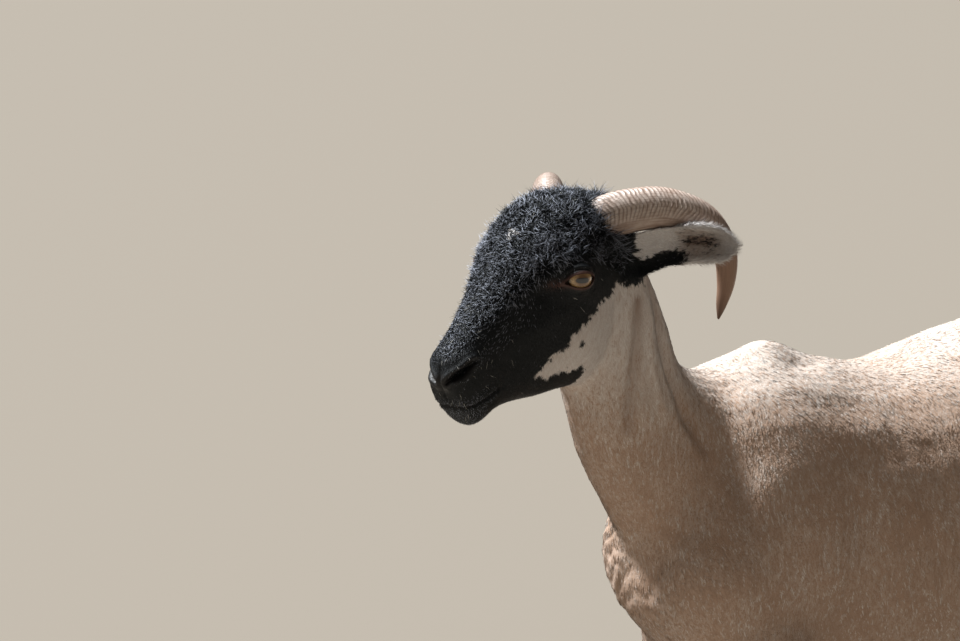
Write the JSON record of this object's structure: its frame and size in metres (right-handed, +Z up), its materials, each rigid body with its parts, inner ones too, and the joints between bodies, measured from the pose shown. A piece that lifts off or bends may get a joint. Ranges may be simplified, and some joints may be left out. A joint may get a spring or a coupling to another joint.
{
  "type": "sheep",
  "caption": "Life-size still model of a shorn, horned hill ewe with a dark head, standing with its head turned to its left.",
  "frame": {"origin": "on the floor, under the middle of the bounding box", "axes": "+Z up; the ewe faces -X and its left side is towards -Y"},
  "size_m": [0.9646, 0.2894, 0.8319],
  "materials": {
    "wool": "closely shorn cream wool, matt",
    "dark_hair": "short woolly near-black face hair, with white patches on the ears and throat",
    "horn": "ridged tan horn, darker and smoother at the tip",
    "claw": "dark, slightly worn hoof horn",
    "eye": "wet amber eye with a level slit pupil"
  },
  "bodies": {
    "root": {"head": "dark_hair", "lower_jaw": "dark_hair", "eye_left": "eye", "horn_left": "horn", "ear_left": "dark_hair", "eye_right": "eye", "horn_right": "horn", "ear_right": "dark_hair", "claw_front_left_inner": "claw", "dewclaw_front_left_inner": "claw", "claw_front_left_outer": "claw", "dewclaw_front_left_outer": "claw", "claw_hind_left_inner": "claw", "dewclaw_hind_left_inner": "claw", "claw_hind_left_outer": "claw", "dewclaw_hind_left_outer": "claw", "claw_front_right_inner": "claw", "dewclaw_front_right_inner": "claw", "claw_front_right_outer": "claw", "dewclaw_front_right_outer": "claw", "claw_hind_right_inner": "claw", "dewclaw_hind_right_inner": "claw", "claw_hind_right_outer": "claw", "dewclaw_hind_right_outer": "claw", "trunk": "wool", "neck": "wool", "tail": "wool", "forearm_front_left": "wool", "shank_front_left": "wool", "thigh_hind_left": "wool", "shank_hind_left": "wool", "forearm_front_right": "wool", "shank_front_right": "wool", "thigh_hind_right": "wool", "shank_hind_right": "wool"}
  },
  "joints": []
}
